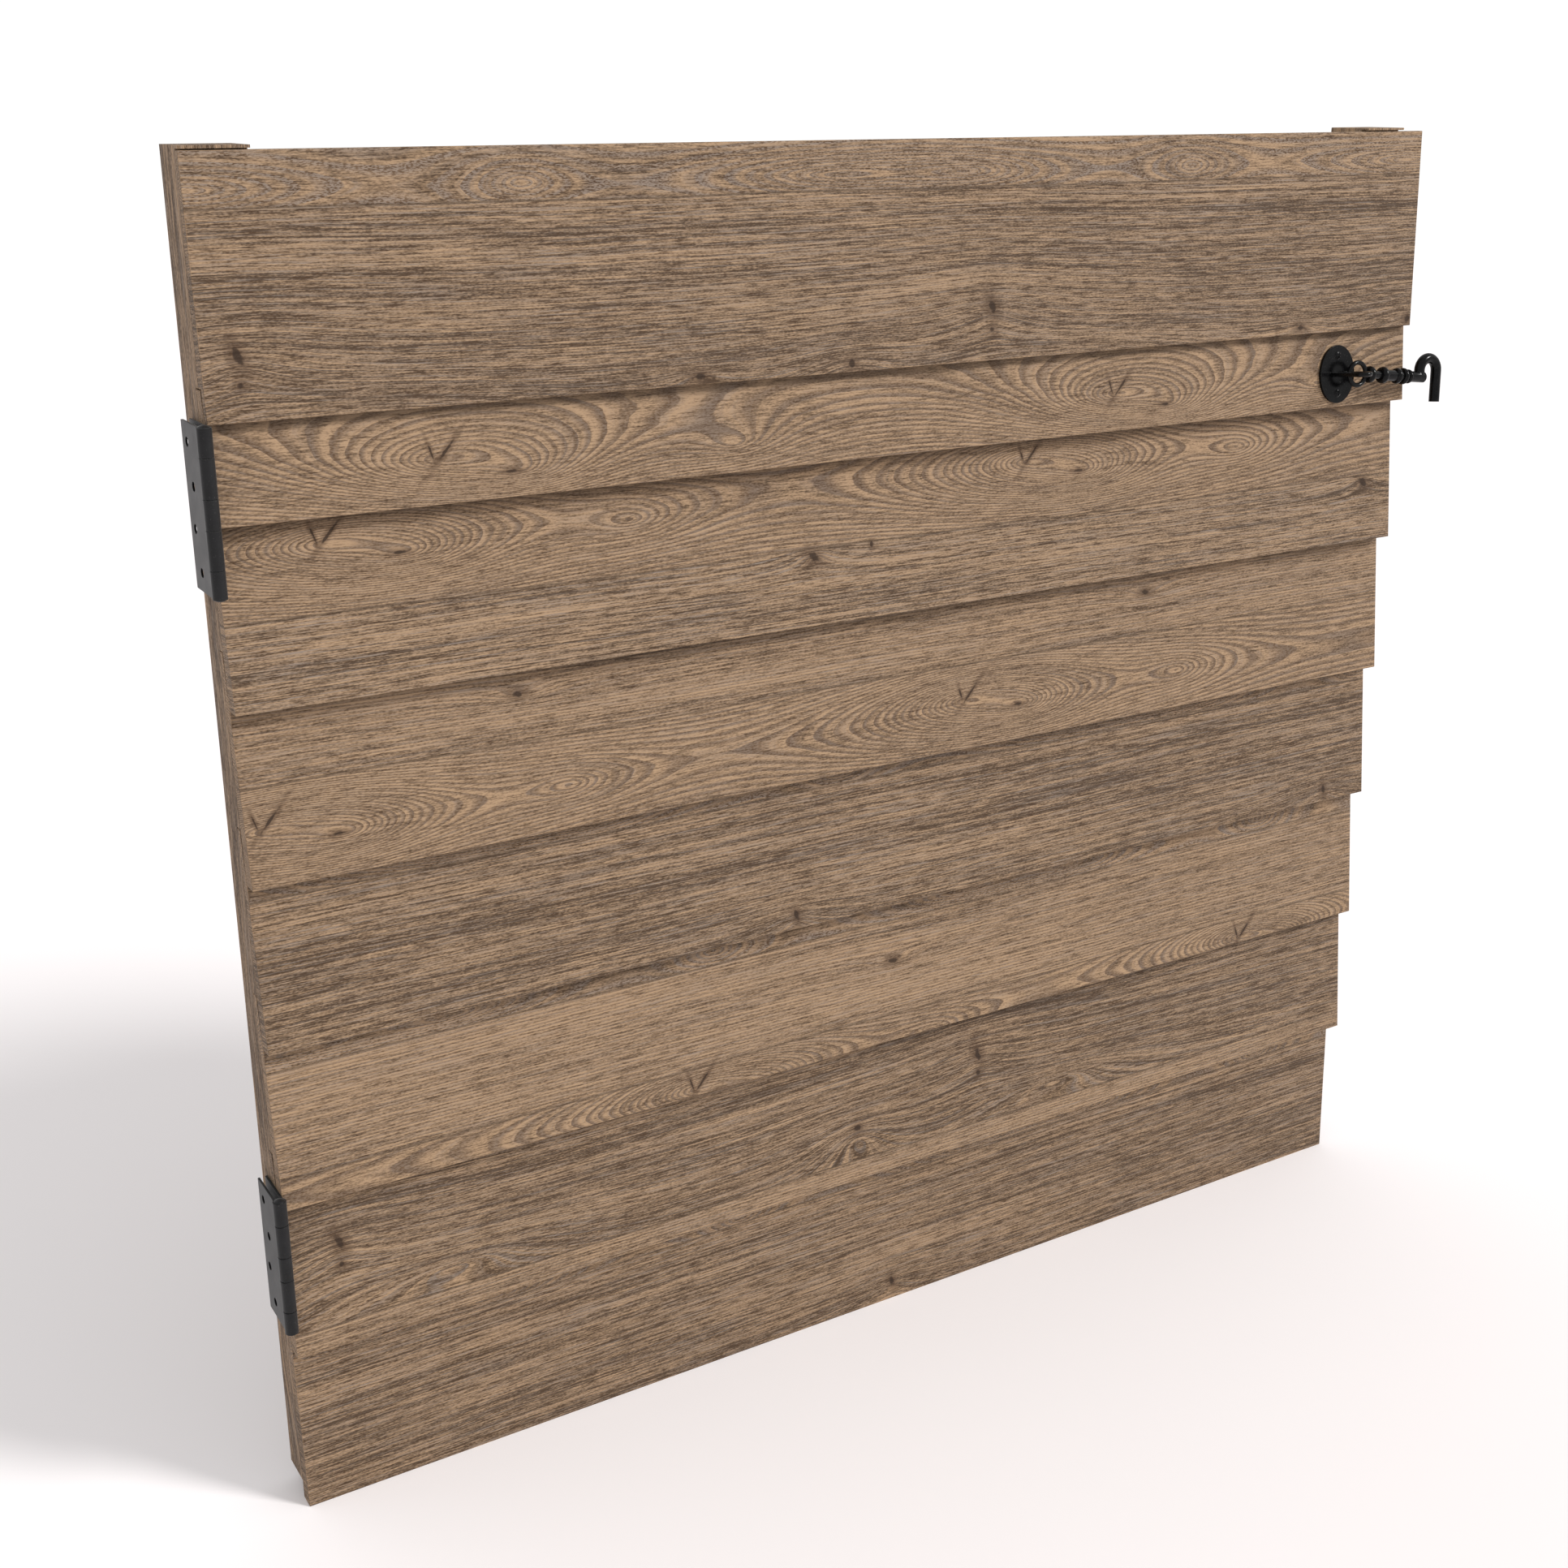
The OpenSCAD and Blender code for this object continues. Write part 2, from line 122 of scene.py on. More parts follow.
class Wiring:
    """Adds nodes to one tree; every call returns the socket that carries its result."""

    def __init__(self, tree):
        self.tree = tree

    def plug(self, socket, value):
        if isinstance(value, bpy.types.NodeSocket):
            self.tree.links.new(value, socket)
        elif isinstance(value, (tuple, list)) and len(socket.default_value) == 4:
            socket.default_value = (*value[:3], 1.0)
        else:
            socket.default_value = value

    def node(self, kind, **settings):
        made = self.tree.nodes.new(kind)
        for key, value in settings.items():
            setattr(made, key, value)
        return made

    def math(self, operation, a, b=0.0, c=0.0):
        made = self.node("ShaderNodeMath", operation=operation)
        for socket, value in zip(made.inputs, (a, b, c)):
            self.plug(socket, value)
        return made.outputs[0]

    def vector(self, operation, a, b=(0.0, 0.0, 0.0)):
        made = self.node("ShaderNodeVectorMath", operation=operation)
        self.plug(made.inputs[0], a)
        self.plug(made.inputs[1], b)
        return made.outputs["Value" if operation in ("LENGTH", "DOT_PRODUCT") else "Vector"]

    def split(self, vector):
        made = self.node("ShaderNodeSeparateXYZ")
        self.plug(made.inputs[0], vector)
        return made.outputs[0], made.outputs[1], made.outputs[2]

    def join(self, x=0.0, y=0.0, z=0.0):
        made = self.node("ShaderNodeCombineXYZ")
        for socket, value in zip(made.inputs, (x, y, z)):
            self.plug(socket, value)
        return made.outputs[0]

    def ramp(self, value, start, end, low=0.0, high=1.0):
        """Smooth step from low at start to high at end."""
        made = self.node("ShaderNodeMapRange", interpolation_type="SMOOTHSTEP")
        for socket, number in zip(made.inputs, (value, start, end, low, high)):
            self.plug(socket, number)
        return made.outputs[0]

    def blend(self, factor, a, b):
        """Mixes two numbers."""
        made = self.node("ShaderNodeMix", data_type="FLOAT")
        for index, value in zip((0, 2, 3), (factor, a, b)):
            self.plug(made.inputs[index], value)
        return made.outputs[0]

    def tint(self, factor, a, b):
        """Mixes two colours."""
        made = self.node("ShaderNodeMix", data_type="RGBA")
        for index, value in zip((0, 6, 7), (factor, a, b)):
            self.plug(made.inputs[index], value)
        return made.outputs[2]

    def noise(self, vector, scale=1.0, detail=2.0, roughness=0.5):
        made = self.node("ShaderNodeTexNoise")
        self.plug(made.inputs["Vector"], vector)
        self.plug(made.inputs["Scale"], scale)
        self.plug(made.inputs["Detail"], detail)
        self.plug(made.inputs["Roughness"], roughness)
        return made.outputs[0]


SOCKETS = {"number": "NodeSocketFloat", "vector": "NodeSocketVector", "colour": "NodeSocketColor"}


def make_group(name, inputs, outputs, build):
    """A shader node group. inputs and outputs name each socket's kind; build wires them."""
    group = bpy.data.node_groups.new(name, "ShaderNodeTree")
    for label, kind in inputs.items():
        group.interface.new_socket(label, in_out="INPUT", socket_type=SOCKETS[kind])
    for label, kind in outputs.items():
        group.interface.new_socket(label, in_out="OUTPUT", socket_type=SOCKETS[kind])
    wiring = Wiring(group)
    source = wiring.node("NodeGroupInput")
    sink = wiring.node("NodeGroupOutput")
    results = build(wiring, {label: source.outputs[label] for label in inputs})
    for label, value in results.items():
        wiring.plug(sink.inputs[label], value)
    return group


def use_group(wiring, group, **values):
    """Places a group; underscores in a value's name stand for spaces in the socket's."""
    made = wiring.node("ShaderNodeGroup", node_tree=group)
    for key, value in values.items():
        wiring.plug(made.inputs[key.replace("_", " ")], value)
    return made.outputs


# ---------------------------------------------------------------- oak node groups
# A board's own coordinates are (along the grain, across its face, into its depth).


def build_stave(w, given):
    """Growth rings of one stave: distance from the pith, counted in rings, wandering a little."""
    along, across, depth = w.split(given["Place"])
    from_pith = w.math("SUBTRACT", across, given["Pith"])
    below = w.math("ADD", depth, given["Depth"])
    radius = w.vector("LENGTH", w.join(from_pith, below))
    rings = w.math("DIVIDE", radius, given["Pitch"])
    seed = w.math("MULTIPLY", given["Seed"], 3.7)
    slow_place = w.join(w.math("MULTIPLY_ADD", along, 2.2, seed), w.math("MULTIPLY", across, 11.0), depth)
    slow = w.noise(slow_place, detail=2.0, roughness=0.45)
    quick_place = w.join(w.math("MULTIPLY_ADD", along, 9.0, seed), w.math("MULTIPLY", across, 70.0), depth)
    quick = w.noise(quick_place, detail=2.0)
    rings = w.math("MULTIPLY_ADD", w.math("SUBTRACT", slow, 0.5), given["Wander"], rings)
    rings = w.math("MULTIPLY_ADD", w.math("SUBTRACT", quick, 0.5), 0.9, rings)
    return {"Rings": rings}


def build_eye(w, given):
    """Nested ovals round one centre, added to the rings."""
    shift = w.vector("SUBTRACT", given["Place"], given["Centre"])
    ratio = w.vector("DIVIDE", shift, given["Size"])
    ratio = w.vector("MULTIPLY", ratio, (1.0, 1.0, 0.0))
    reach = w.vector("LENGTH", w.vector("ADD", ratio, (0.0, 0.0, 0.12)))
    fall = w.math("EXPONENT", w.math("MULTIPLY", reach, -1.0))
    return {"Rings": w.math("MULTIPLY_ADD", fall, given["Count"], given["Rings"])}


def build_knot(w, given):
    """A small knot: dark heart, paler halo, and the place it takes in the grain."""
    wobble = w.noise(given["Place"], scale=260.0, detail=2.0)
    shift = w.vector("SUBTRACT", given["Place"], given["Centre"])
    u, v, _ = w.split(shift)
    lean = w.math("MULTIPLY_ADD", v, given["Lean"], u)
    flat = w.join(w.math("DIVIDE", lean, given["Width"]), w.math("DIVIDE", v, given["Height"]))
    reach = w.vector("LENGTH", flat)
    reach = w.math("MULTIPLY_ADD", w.math("SUBTRACT", wobble, 0.5), 0.9, reach)
    heart = w.ramp(reach, 0.35, 0.75, 1.0, 0.0)
    halo = w.ramp(reach, 0.5, 2.4, 1.0, 0.0)
    return {
        "Heart": w.math("MAXIMUM", heart, given["Heart"]),
        "Halo": w.math("MAXIMUM", halo, given["Halo"]),
    }


def build_oak_skin(w, given):
    """Colour, roughness and relief of limed oak from the ring count and the place, with painted shade
    darkening the strip under a lap.
    """
    rings, place = given["Rings"], given["Place"]
    along, _, depth = w.split(place)

    def centred(value):
        return w.math("SUBTRACT", value, 0.5)

    def flow(length_scale, ring_scale, shift, detail=2.0, roughness=0.5):
        """Noise drawn out along the grain that follows the rings."""
        spot = w.join(
            w.math("MULTIPLY", along, length_scale),
            w.math("MULTIPLY_ADD", rings, ring_scale, shift),
            w.math("MULTIPLY", depth, 60.0),
        )
        return w.noise(spot, detail=detail, roughness=roughness)

    wide = flow(1.4, 0.10, 3.0)
    streak = flow(3.0, 0.75, 11.0, 4.0, 0.62)
    thread = flow(11.0, 2.2, 23.0, 3.0, 0.62)
    limed_thread = flow(12.0, 2.3, 41.0, 3.0, 0.62)
    pores = w.noise(w.vector("MULTIPLY", place, (70.0, 950.0, 950.0)), detail=2.0, roughness=0.6)
    speck = w.noise(w.vector("MULTIPLY", place, (480.0, 1500.0, 1500.0)), detail=1.0)
    cloud = w.noise(w.vector("MULTIPLY", place, (2.5, 14.0, 14.0)), detail=2.0)

    value = w.math("MULTIPLY_ADD", w.math("MULTIPLY", centred(streak), given["Streak"]), 2.0, given["Tone"])
    value = w.math("MULTIPLY_ADD", w.math("MULTIPLY", centred(thread), given["Streak"]), 2.6, value)
    value = w.math("MULTIPLY_ADD", centred(wide), 0.9, value)
    value = w.math("MULTIPLY_ADD", centred(cloud), 0.4, value)
    value = w.math("MULTIPLY_ADD", centred(pores), 2.1, value)
    value = w.math("MULTIPLY_ADD", centred(speck), 1.4, value)
    colour = w.tint(value, given["Dark"], given["Light"])

    turn = w.math("FRACT", rings)
    late = w.math("MULTIPLY", w.ramp(turn, 0.30, 0.80), w.ramp(turn, 1.0, 0.93))
    late = w.math("MULTIPLY", late, w.ramp(thread, 0.30, 0.60, 0.55, 1.0))
    late = w.math("MULTIPLY", late, given["Line"])
    limed = w.math("MULTIPLY", w.ramp(speck, 0.38, 0.58), given["Limed"])
    colour = w.tint(w.math("MULTIPLY", late, 0.8), colour, w.tint(limed, given["Late"], given["Lime"]))

    pore = w.math("MULTIPLY", w.ramp(limed_thread, 0.48, 0.66), w.ramp(pores, 0.40, 0.62, 0.2, 1.0))
    pore = w.math("MULTIPLY", pore, given["Streak"])
    colour = w.tint(w.math("MULTIPLY", pore, 0.7), colour, given["Lime"])
    brown = w.math("MULTIPLY", w.ramp(pores, 0.44, 0.30), given["Streak"])
    colour = w.tint(w.math("MULTIPLY", brown, 0.5), colour, given["Late"])

    heart = w.math("MULTIPLY", given["Heart"], w.ramp(speck, 0.2, 0.5, 0.7, 1.0))
    colour = w.tint(w.math("MULTIPLY", given["Halo"], 0.55), colour, given["Late"])
    colour = w.tint(w.math("MULTIPLY", heart, 0.85), colour, (0.028, 0.016, 0.010))
    # Painted shade: the strip just under the lap above is darkened, standing in for the lap's shadow
    colour = w.tint(w.math("MULTIPLY", given["Shelter"], 0.45), colour, given["Pore"])

    relief = w.math("MULTIPLY_ADD", late, -0.6, 1.0)
    relief = w.math("MULTIPLY_ADD", pore, -0.5, relief)
    relief = w.math("MULTIPLY_ADD", brown, -0.5, relief)
    relief = w.math("MULTIPLY_ADD", heart, -0.8, relief)
    relief = w.math("MULTIPLY_ADD", centred(pores), 0.7, relief)
    relief = w.math("MULTIPLY_ADD", centred(speck), 0.4, relief)
    roughness = w.ramp(relief, 0.2, 1.2, 0.86, 0.64)
    return {"Colour": colour, "Roughness": roughness, "Relief": relief}


def build_edge_wear(w, given):
    """Where an eased edge is rubbed: full on the rounding, broken up by noise."""
    edge = w.node("ShaderNodeAttribute", attribute_name="edge").outputs["Fac"]
    patch = w.noise(given["Place"], scale=given["Scale"], detail=4.0, roughness=0.65)
    worn = w.math("MULTIPLY", edge, w.ramp(patch, 0.40, 0.62))
    return {"Wear": w.math("MULTIPLY", worn, given["Amount"])}


def build_coat_skin(w, given):
    """Uneven lacquer on metal: orange peel, dull patches and a breath of dust."""
    peel = w.noise(given["Place"], scale=given["Peel"], detail=2.0)
    dull = w.noise(given["Place"], scale=70.0, detail=4.0, roughness=0.6)
    dust = w.noise(given["Place"], scale=1500.0, detail=1.0)
    patches = w.ramp(dull, 0.35, 0.7)
    colour = w.tint(patches, given["Deep"], given["Faded"])
    colour = w.tint(w.math("MULTIPLY", w.ramp(dust, 0.66, 0.78), 0.25), colour, (0.16, 0.155, 0.15))
    rough = w.math("MULTIPLY_ADD", w.math("SUBTRACT", dull, 0.5), 0.25, given["Rough"])
    return {"Colour": colour, "Roughness": rough, "Relief": peel}


PLACE = {"Place": "vector"}
STAVE = make_group(
    "oak stave",
    {**PLACE, "Pith": "number", "Depth": "number", "Pitch": "number", "Seed": "number", "Wander": "number"},
    {"Rings": "number"},
    build_stave,
)
EYE = make_group(
    "grain eye",
    {**PLACE, "Centre": "vector", "Size": "vector", "Count": "number", "Rings": "number"},
    {"Rings": "number"},
    build_eye,
)
KNOT = make_group(
    "knot",
    {
        **PLACE, "Centre": "vector", "Width": "number", "Height": "number", "Lean": "number",
        "Heart": "number", "Halo": "number",
    },
    {"Heart": "number", "Halo": "number"},
    build_knot,
)
OAK_SKIN = make_group(
    "oak skin",
    {
        **PLACE, "Rings": "number", "Tone": "number", "Streak": "number", "Line": "number",
        "Limed": "number", "Heart": "number", "Halo": "number", "Shelter": "number",
        "Dark": "colour", "Light": "colour", "Late": "colour", "Pore": "colour", "Lime": "colour",
    },
    {"Colour": "colour", "Roughness": "number", "Relief": "number"},
    build_oak_skin,
)
EDGE_WEAR = make_group(
    "edge wear", {**PLACE, "Scale": "number", "Amount": "number"}, {"Wear": "number"}, build_edge_wear
)
COAT_SKIN = make_group(
    "coat skin",
    {**PLACE, "Peel": "number", "Rough": "number", "Deep": "colour", "Faded": "colour"},
    {"Colour": "colour", "Roughness": "number", "Relief": "number"},
    build_coat_skin,
)

# ---------------------------------------------------------------- oak materials

OAK_DARK = (0.062, 0.035, 0.017)
OAK_LIGHT = (0.366, 0.241, 0.142)
OAK_LATE = (0.068, 0.036, 0.018)
# Dark brown for the real lines between staves and for the painted shade under a lap
OAK_SEAM_AND_SHADE = (0.040, 0.025, 0.015)
OAK_LIME = (0.225, 0.186, 0.160)

# How a stave was sawn: pith's height over the stave's middle, depth of the pith behind the
# face, width of a ring, how far rings wander, tone, streaks, ring lines, lime in the lines
SAWN = {
    "crown": dict(
        pith=0.0, depth=0.020, pitch=0.0030, wander=4.0,
        tone=0.72, streak=0.45, line=1.0, limed=0.35,
    ),
    "coarse": dict(
        pith=0.0, depth=0.060, pitch=0.0048, wander=5.0,
        tone=0.66, streak=0.6, line=1.0, limed=0.9,
    ),
    "dark": dict(
        pith=-0.24, depth=0.030, pitch=0.0021, wander=5.0,
        tone=0.38, streak=1.0, line=0.5, limed=0.6,
    ),
    "light": dict(
        pith=0.22, depth=0.030, pitch=0.0022, wander=5.0,
        tone=0.70, streak=0.7, line=0.75, limed=0.5,
    ),
    "fine": dict(
        pith=-0.30, depth=0.030, pitch=0.0018, wander=5.0,
        tone=0.50, streak=1.1, line=0.35, limed=0.7,
    ),
}

# The oak's figures, round their own middle: eyes as (along, up, length, height, rings),
# knots as (along, up, width, height, lean). Each comes again at an even spacing.
FIGURE_REPEAT = 0.5
FIGURES = {
    "crown": dict(
        eyes=[
            (0.0, 0.0, 0.09, 0.024, -20),
            (0.05, -0.01, 0.06, 0.02, -15),
            (0.195, -0.007, 0.04, 0.014, -9),
        ],
        knots=[
            (0.005, 0.005, 0.002, 0.01, -0.9),
            (-0.004, 0.005, 0.0012, 0.007, 0.3),
            (0.045, -0.01, 0.006, 0.0015, 0),
        ],
    ),
    "ovals": dict(
        eyes=[
            (0.0, 0.0, 0.1, 0.012, -11),
            (0.1, 0.0, 0.06, 0.01, -9),
            (0.29, 0.0, 0.03, 0.012, -8),
        ],
        knots=[],
    ),
    "branch": dict(
        eyes=[
            (0.0, 0.0, 0.045, 0.03, -12),
            (0.075, -0.03, 0.1, 0.02, -17),
            (0.39, -0.03, 0.035, 0.02, -16),
        ],
        knots=[
            (0.0, 0.01, 0.004, 0.008, 0.3),
            (0.0, -0.005, 0.003, 0.003, 0),
            (0.39, -0.02, 0.004, 0.004, 0),
        ],
    ),
    "round": dict(
        eyes=[(0.0, 0.0, 0.02, 0.008, -7)],
        knots=[(0.0, 0.0, 0.006, 0.005, 0.5), (0.045, 0.003, 0.002, 0.003, 0)],
    ),
    "pin": dict(eyes=[(0.0, 0.0, 0.03, 0.006, -5)], knots=[(0.0, 0.0, 0.006, 0.003, 0)]),
    "spike": dict(eyes=[(0.0, 0.0, 0.03, 0.012, -7)], knots=[(0.0, 0.005, 0.003, 0.006, 0.2)]),
}

# Each board from its lower left corner: staves as (upper edge, sawing), then its figures
# as (which, how far along the first one is, how far up)
BOARDS = {
    "top_board": dict(
        staves=[(0.11, "dark"), (1.0, "coarse")],
        figures=[("ovals", 0.40, 0.12), ("branch", 0.52, 0.025), ("pin", 0.30, 0.005)],
    ),
    "second_board": dict(staves=[(1.0, "crown")], figures=[("crown", 0.13, 0.025)]),
    "lap_board_1": dict(
        staves=[(0.05, "fine"), (1.0, "crown")], figures=[("crown", 0.06, 0.09), ("round", 0.385, 0.045)],
    ),
    "lap_board_2": dict(
        staves=[(0.06, "crown"), (1.0, "light")], figures=[("crown", 0.01, 0.035), ("pin", 0.175, 0.09)],
    ),
    "lap_board_3": dict(
        staves=[(0.095, "dark"), (1.0, "coarse")], figures=[("ovals", 0.12, 0.105), ("spike", 0.37, 0.005)],
    ),
    "lap_board_4": dict(
        staves=[(0.02, "crown"), (0.09, "light"), (1.0, "coarse")],
        figures=[("crown", 0.29, 0.005), ("ovals", 0.02, 0.1), ("pin", 0.455, 0.06)],
    ),
    "lap_board_5": dict(staves=[(0.015, "light"), (1.0, "dark")], figures=[("branch", 0.035, 0.06)]),
    "bottom_board": dict(
        staves=[(0.105, "dark"), (1.0, "coarse")], figures=[("ovals", 0.04, 0.11), ("spike", 0.46, 0.01)],
    ),
}

# Height of the painted shade strip under a lap: a darker band that stands in for the lap's shadow
PAINTED_SHADE_HEIGHT = 0.009

STILES = {
    "hinge_stile": dict(staves=[(1.0, "dark")], figures=[("ovals", 0.3, 0.018)]),
    "latch_stile": dict(staves=[(1.0, "light")], figures=[("ovals", 0.05, 0.012)]),
}


def place_figures(design, length):
    """The eyes and knots of one board, with every repeat of its figures that falls on it."""
    marks = {"eyes": [], "knots": []}
    for figure, start, up in design["figures"]:
        for turn in range(-1, math.ceil(length / FIGURE_REPEAT)):
            shift = start + turn * FIGURE_REPEAT
            for kind, made in marks.items():
                for u, v, *shape in FIGURES[figure][kind]:
                    if 0.0 < shift + u < length:
                        made.append((shift + u, up + v, *shape))
    return marks["eyes"], marks["knots"]


def new_material(name):
    material = bpy.data.materials.new(name)
    material.use_nodes = True
    wiring = Wiring(material.node_tree)
    shader = material.node_tree.nodes["Principled BSDF"]
    return material, wiring, shader


def board_place(wiring, corner, upright):
    """(along the grain, across the face, depth from the front) from a board's lower left corner."""
    here = wiring.node("ShaderNodeTexCoord").outputs["Object"]
    x, y, z = wiring.split(wiring.vector("SUBTRACT", here, tuple(corner)))
    return wiring.join(z, x, y) if upright else wiring.join(x, z, y)


def painted_lap_shade(w, height, cover):
    """Painted shade: a darker strip on a board's front, just under the lap of the board above, standing in
    for the lap's shadow.
    """
    facing = w.split(w.node("ShaderNodeTexCoord").outputs["Normal"])[1]
    front = w.ramp(facing, -0.6, -0.2, 1.0, 0.0)
    return w.math("MULTIPLY", front, w.ramp(height, cover - PAINTED_SHADE_HEIGHT, cover - 0.3 * PAINTED_SHADE_HEIGHT))


def oak_material(name, corner, length, design, seed, upright=False, cover=0.0):
    """Limed oak for one board: its staves, their eyes and knots, then the skin."""
    material, w, shader = new_material("oak " + name)
    place = board_place(w, corner, upright)
    eyes, knots = place_figures(design, length)
    _, across, _ = w.split(place)
    ripple = w.noise(w.vector("MULTIPLY", place, (6.0, 1.0, 1.0)), detail=1.0)
    height = w.math("MULTIPLY_ADD", w.math("SUBTRACT", ripple, 0.5), 0.004, across)
    low = 0.0
    mixed = {}
    seam = 0.0
    for index, (top, sawn) in enumerate(design["staves"]):
        kind = SAWN[sawn]
        upper = min(top, 0.140)
        middle = (low + upper) / 2
        stave = use_group(
            w, STAVE, Place=place, Pith=middle + kind["pith"], Depth=kind["depth"],
            Pitch=kind["pitch"], Seed=seed + 2.3 * index, Wander=kind["wander"],
        )["Rings"]
        for u, v, long, tall, count in eyes:
            if low <= v < top or (index == 0 and v < 0.0):
                stave = use_group(
                    w, EYE, Place=place, Centre=(u, v, 0.0), Size=(long, tall, 1.0),
                    Count=count, Rings=stave,
                )["Rings"]
        values = dict(rings=stave, **{key: kind[key] for key in ("tone", "streak", "line", "limed")})
        if index == 0:
            mixed = values
        else:
            above = w.ramp(height, low - 0.0004, low + 0.0004)
            mixed = {key: w.blend(above, mixed[key], values[key]) for key in values}
            gap = w.math("ABSOLUTE", w.math("SUBTRACT", height, low))
            seam = w.math("MAXIMUM", seam, w.ramp(gap, 0.0002, 0.0011, 0.45, 0.0))
        low = top
    heart, halo = 0.0, 0.0
    for u, v, width, tall, lean in knots:
        spot = use_group(
            w, KNOT, Place=place, Centre=(u, v, 0.0), Width=width, Height=tall, Lean=lean,
            Heart=heart, Halo=halo,
        )
        heart, halo = spot["Heart"], spot["Halo"]
    skin = use_group(
        w, OAK_SKIN, Place=place, Rings=mixed["rings"], Tone=mixed["tone"], Streak=mixed["streak"],
        Line=mixed["line"], Limed=mixed["limed"], Heart=heart, Halo=halo,
        # painted shade on the front, under the lap of the board above
        Shelter=painted_lap_shade(w, height, cover) if cover else 0.0,
        Dark=OAK_DARK, Light=OAK_LIGHT, Late=OAK_LATE, Pore=OAK_SEAM_AND_SHADE, Lime=OAK_LIME,
    )
    wear = use_group(w, EDGE_WEAR, Place=place, Scale=60.0, Amount=0.5)["Wear"]
    colour = w.tint(seam, skin["Colour"], OAK_SEAM_AND_SHADE)
    colour = w.tint(wear, colour, OAK_LIGHT)
    w.plug(shader.inputs["Base Color"], colour)
    w.plug(shader.inputs["Roughness"], skin["Roughness"])
    shader.inputs["Specular IOR Level"].default_value = 0.3
    bump = w.node("ShaderNodeBump")
    bump.inputs["Strength"].default_value = 0.45
    bump.inputs["Distance"].default_value = 0.0005
    w.plug(bump.inputs["Height"], skin["Relief"])
    w.plug(shader.inputs["Normal"], bump.outputs[0])
    return material


# ---------------------------------------------------------------- metal materials


def coated_metal(name, peel, rough, deep, faded, worn, bump_depth, shine, dusty=0.0):
    material, w, shader = new_material(name)
    here = w.node("ShaderNodeTexCoord").outputs["Object"]
    skin = use_group(w, COAT_SKIN, Place=here, Peel=peel, Rough=rough, Deep=deep, Faded=faded)
    wear = use_group(w, EDGE_WEAR, Place=here, Scale=420.0, Amount=0.55)["Wear"]
    w.plug(shader.inputs["Base Color"], w.tint(wear, skin["Colour"], worn))
    w.plug(shader.inputs["Roughness"], skin["Roughness"])
    shader.inputs["Specular IOR Level"].default_value = shine
    shader.inputs["Sheen Weight"].default_value = dusty
    shader.inputs["Sheen Roughness"].default_value = 0.35
    bump = w.node("ShaderNodeBump")
    bump.inputs["Strength"].default_value = 0.4
    bump.inputs["Distance"].default_value = bump_depth
    w.plug(bump.inputs["Height"], skin["Relief"])
    w.plug(shader.inputs["Normal"], bump.outputs[0])
    return material


def zinc_material():
    material, w, shader = new_material("zinc")
    here = w.node("ShaderNodeTexCoord").outputs["Object"]
    stain = w.noise(here, scale=300.0, detail=4.0, roughness=0.6)
    brushed = w.noise(w.vector("MULTIPLY", here, (900.0, 2600.0, 900.0)), detail=1.0)
    colour = w.tint(w.ramp(stain, 0.35, 0.7), (0.42, 0.42, 0.40), (0.62, 0.62, 0.60))
    w.plug(shader.inputs["Base Color"], colour)
    w.plug(shader.inputs["Roughness"], w.ramp(stain, 0.3, 0.75, 0.45, 0.26))
    shader.inputs["Metallic"].default_value = 1.0
    bump = w.node("ShaderNodeBump")
    bump.inputs["Strength"].default_value = 0.2
    bump.inputs["Distance"].default_value = 0.00005
    w.plug(bump.inputs["Height"], brushed)
    w.plug(shader.inputs["Normal"], bump.outputs[0])
    return material


def floor_material():
    material, w, shader = new_material("studio floor")
    here = w.node("ShaderNodeTexCoord").outputs["Object"]
    mottle = w.noise(here, scale=3.0, detail=3.0)
    pale = tuple(channel * 0.985 for channel in FLOOR_COLOUR)
    w.plug(shader.inputs["Base Color"], w.tint(mottle, FLOOR_COLOUR, pale))
    shader.inputs["Roughness"].default_value = 0.9
    shader.inputs["Specular IOR Level"].default_value = 0.0
    return material


# ---------------------------------------------------------------- pieces

# Degrees: edges folded more than the first are eased, and what stays over the second is sharp
EASED_FROM = 32.0
SHARP_FROM = 38.0
WOOD_EASE = 0.0004
METAL_EASE = 0.00022
SCREW_EASE = 0.00015
SHORTEST_EASED = 0.004
SEED_STEP = 5.1


def eased_copy(node, name, ease, min_edge=0.0):
    """The node's own shape with its sharp edges rounded off and marked for wear."""
    source = frame["nodes"][node].data
    mesh = bmesh.new()
    mesh.from_mesh(source)
    bmesh.ops.remove_doubles(mesh, verts=mesh.verts, dist=0.000004)
    bmesh.ops.dissolve_limit(
        mesh, angle_limit=math.radians(0.4), verts=mesh.verts, edges=mesh.edges, delimit={"NORMAL"}
    )
    worn = mesh.faces.layers.float.new("edge")
    edges = [
        edge for edge in mesh.edges
        if len(edge.link_faces) == 2
        and edge.calc_length() > min_edge
        and edge.calc_face_angle_signed(0.0) > math.radians(EASED_FROM)
    ]
    result = bmesh.ops.bevel(
        mesh, geom=edges, offset=ease, offset_type="OFFSET", segments=2, profile=0.5,
        affect="EDGES", clamp_overlap=True,
    )
    for face in result["faces"]:
        face[worn] = 1.0
    data = bpy.data.meshes.new(name)
    mesh.to_mesh(data)
    mesh.free()
    data.shade_smooth()
    data.set_sharp_from_angle(angle=math.radians(SHARP_FROM))
    piece = bpy.data.objects.new(name, data)
    bpy.context.scene.collection.objects.link(piece)
    flatten = piece.modifiers.new("flat faces stay flat", "WEIGHTED_NORMAL")
    flatten.keep_sharp = True
    flatten.weight = 100
    return piece


def fit_out(piece, node, body, material):
    """Puts a finished piece in a node's place."""
    piece.data.materials.clear()
    piece.data.materials.append(material)
    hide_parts(node)
    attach(piece, body)


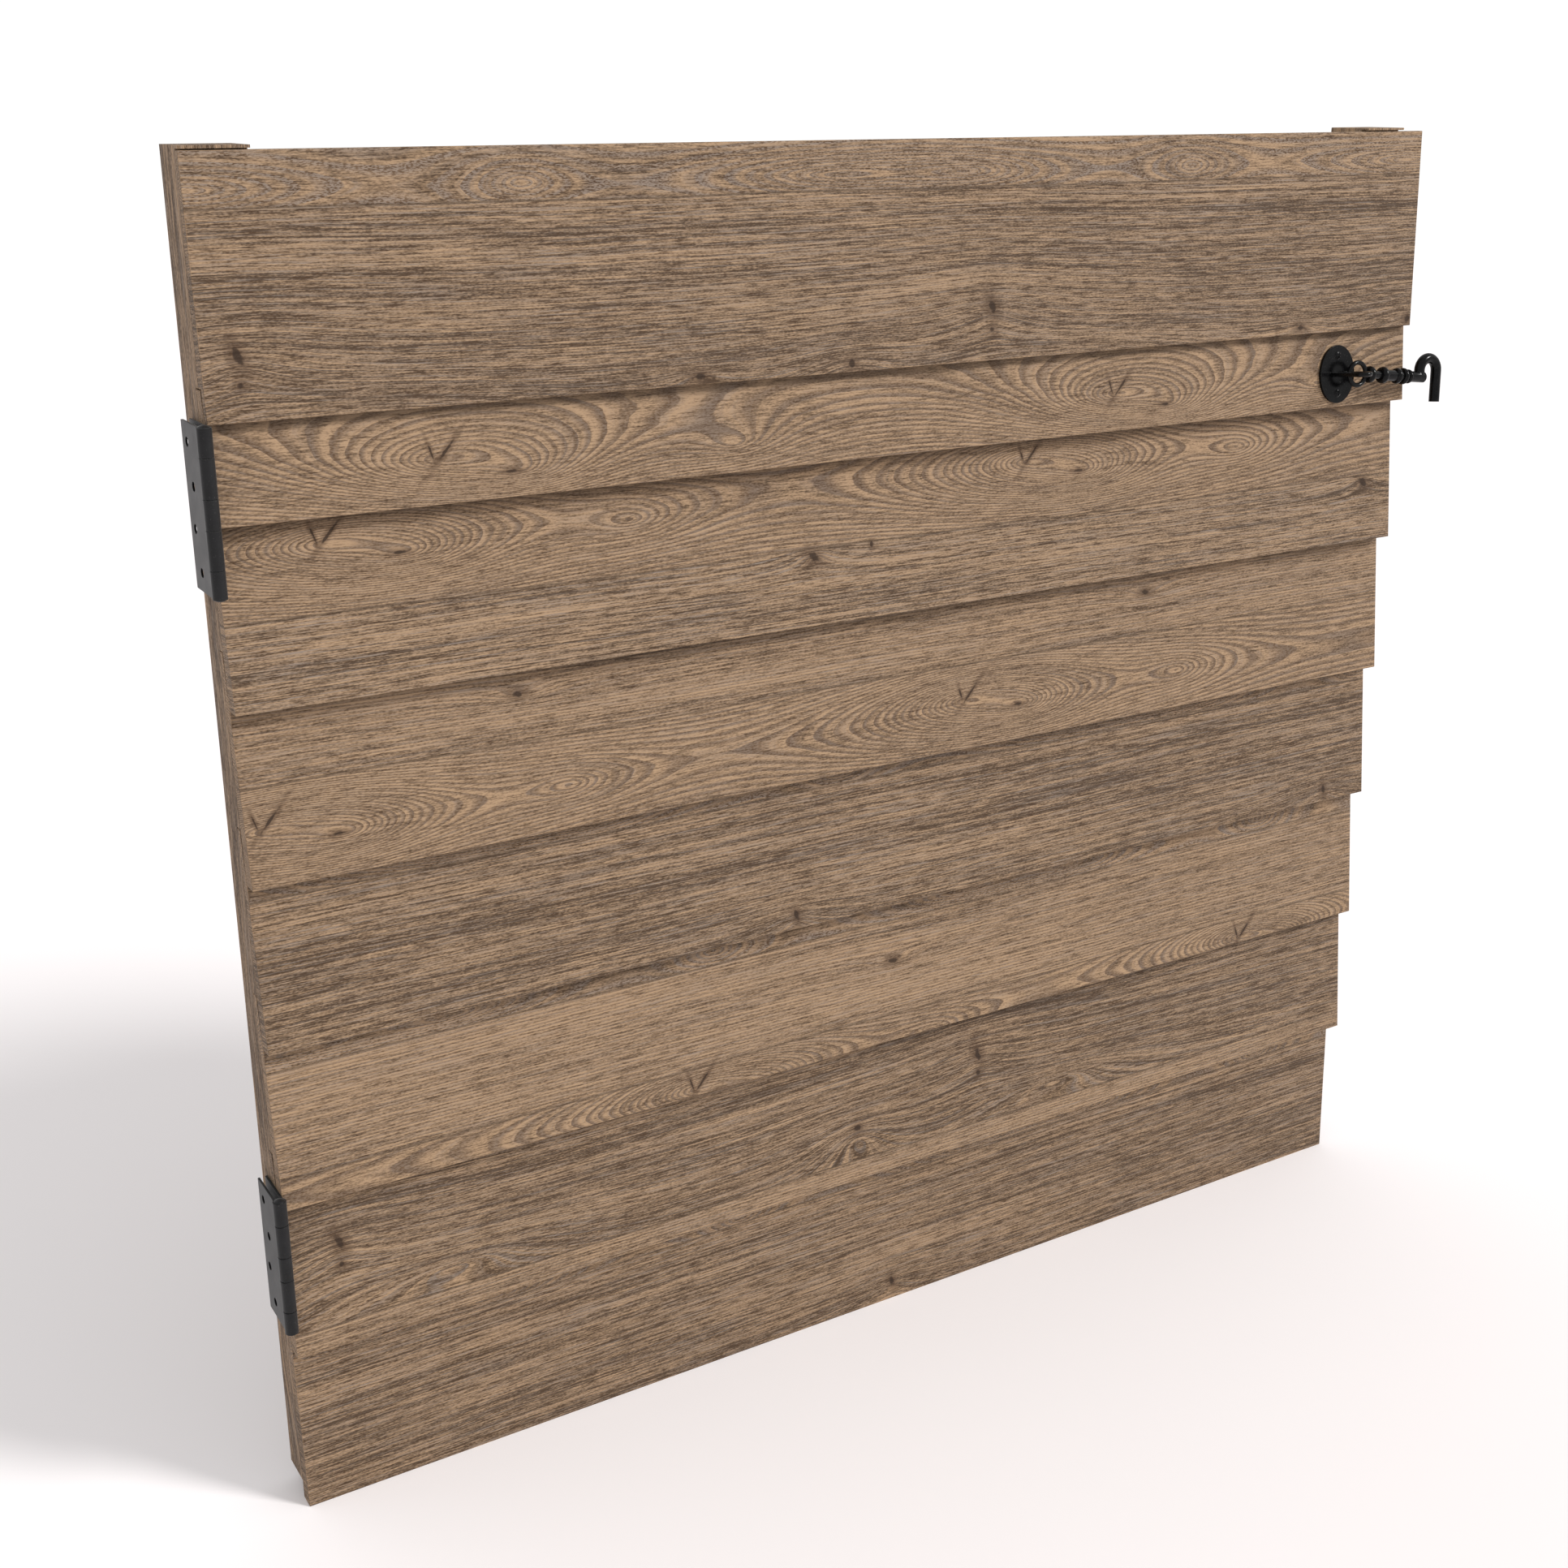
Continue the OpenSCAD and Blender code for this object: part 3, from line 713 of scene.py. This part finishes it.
BODY_OF = {node: body for body, nodes in frame["record"]["behaviour"]["bodies"].items() for node in nodes}

add_camera()
add_sky()
add_soft_sun("key", TOWARDS_KEY, KEY_STRENGTH, KEY_SPREAD, KEY_COLOUR)

bpy.context.scene.view_settings.view_transform = "Standard"

bpy.ops.mesh.primitive_grid_add(x_subdivisions=8, y_subdivisions=8, size=2 * FLOOR_HALF)
floor = bpy.context.active_object
floor.name = "studio_floor"
floor.location = (GATE_HIGH.x / 2, 0.0, GATE_LOW.z)
floor.data.materials.append(floor_material())

board_above = 0.0
for index, (node, design) in enumerate(BOARDS.items()):
    low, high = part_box(node)
    lap = board_above - low[2] if index else 0.0
    piece = eased_copy(node, node + "_oak", WOOD_EASE, SHORTEST_EASED)
    material = oak_material(node, low, high[0] - low[0], design, 1.0 + SEED_STEP * index, cover=lap)
    fit_out(piece, node, BODY_OF[node], material)
    board_above = low[2]

for index, (node, design) in enumerate(STILES.items()):
    low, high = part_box(node)
    piece = eased_copy(node, node + "_oak", WOOD_EASE, SHORTEST_EASED)
    material = oak_material(node, low, high[2] - low[2], design, 61.0 + SEED_STEP * index, upright=True)
    fit_out(piece, node, BODY_OF[node], material)

powder_black = coated_metal(
    "powder black", peel=1500.0, rough=0.50, deep=(0.005, 0.005, 0.0055), faded=(0.009, 0.009, 0.010),
    worn=(0.03, 0.029, 0.028), bump_depth=0.00003, shine=0.25, dusty=0.22,
)
lacquer_black = coated_metal(
    "lacquer black", peel=300.0, rough=0.19, deep=(0.002, 0.002, 0.0022), faded=(0.004, 0.004, 0.0044),
    worn=(0.02, 0.019, 0.018), bump_depth=0.00003, shine=0.15,
)
zinc = zinc_material()

for level in ("upper", "lower"):
    for part in ("gate_leaf", "post_leaf", "hinge_pin", "leaf_screws"):
        node = level + "_" + part
        piece = eased_copy(node, node + "_coated", METAL_EASE)
        fit_out(piece, node, BODY_OF[node], powder_black)

for node in ("hook_plate", "hook_plate_screws", "hook_staple", "hook_arm"):
    piece = eased_copy(node, node + "_lacquered", METAL_EASE)
    fit_out(piece, node, BODY_OF[node], lacquer_black)

for node in ("hinge_stile_screws", "latch_stile_screws"):
    piece = eased_copy(node, node + "_plated", SCREW_EASE)
    fit_out(piece, node, BODY_OF[node], zinc)
